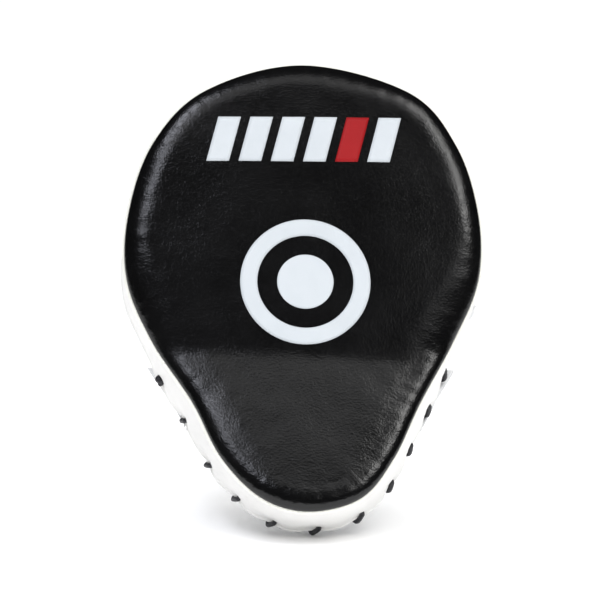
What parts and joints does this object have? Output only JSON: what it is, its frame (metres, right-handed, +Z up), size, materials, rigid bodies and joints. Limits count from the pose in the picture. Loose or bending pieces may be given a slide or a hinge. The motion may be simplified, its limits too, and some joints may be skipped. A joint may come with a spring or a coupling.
{
  "type": "focus mitt",
  "caption": "Padded hand target for boxing training: a pear-shaped concave pad with a ring target, worn on the right hand by finger sleeves and a wrist strap.",
  "frame": {"origin": "on the ground under the middle of the leaning mitt's bounding box", "axes": "+Z up, +X to the thumb's side, -Y the way the striking face looks; the mitt stands on its narrow heel and leans back 25 degrees towards +Y"},
  "size_m": [0.2114, 0.1808, 0.262],
  "materials": {
    "face_leather": "soft gloss, fine grain",
    "white_print": "satin transfer film",
    "red_print": "satin transfer film",
    "soft_foam": "matt foam",
    "dense_foam": "matt dense foam",
    "welt_leather": "smooth gloss",
    "band_leather": "soft gloss, fine grain",
    "back_leather": "soft gloss, fine grain",
    "palm_leather": "soft gloss, fine grain",
    "sleeve_leather": "soft gloss, fine grain",
    "cover_leather": "soft gloss, fine grain",
    "strap_leather": "soft gloss, fine grain",
    "loop_pile": "looped pile",
    "hook_tape": "rows of hooks",
    "tab_webbing": "woven webbing",
    "lace_cord": "waxed braid"
  },
  "bodies": {
    "mitt": {"front_cover": "face_leather", "target_ring": "white_print", "target_dot": "white_print", "emblem_white_bars": "white_print", "emblem_red_bar": "red_print", "crown_foam": "soft_foam", "front_foam": "soft_foam", "core_foam": "dense_foam", "rear_foam": "soft_foam", "welt": "welt_leather", "gusset": "band_leather", "back_panel": "back_leather", "lace": "lace_cord", "lace_knots": "lace_cord", "palm_ball_cover": "palm_leather", "palm_ball_foam": "soft_foam", "index_sleeve": "sleeve_leather", "middle_sleeve": "sleeve_leather", "ring_sleeve": "sleeve_leather", "little_sleeve": "sleeve_leather", "thumb_sleeve": "sleeve_leather", "hand_cover": "cover_leather", "hand_cover_padding": "soft_foam", "strap_root": "strap_leather", "anchor_strap": "strap_leather", "loop_patch": "loop_pile"},
    "wrist_strap": {"wrist_strap": "strap_leather", "hook_patch": "hook_tape", "pull_tab": "tab_webbing"}
  },
  "joints": [
    {"name": "strap_open", "type": "hinge", "parent": "mitt", "child": "wrist_strap", "pos_m": [-0.05402, 0.01351, 0.0623], "axis": [0, 0.6018, 0.7986], "range_deg": [0, 135]}
  ]
}
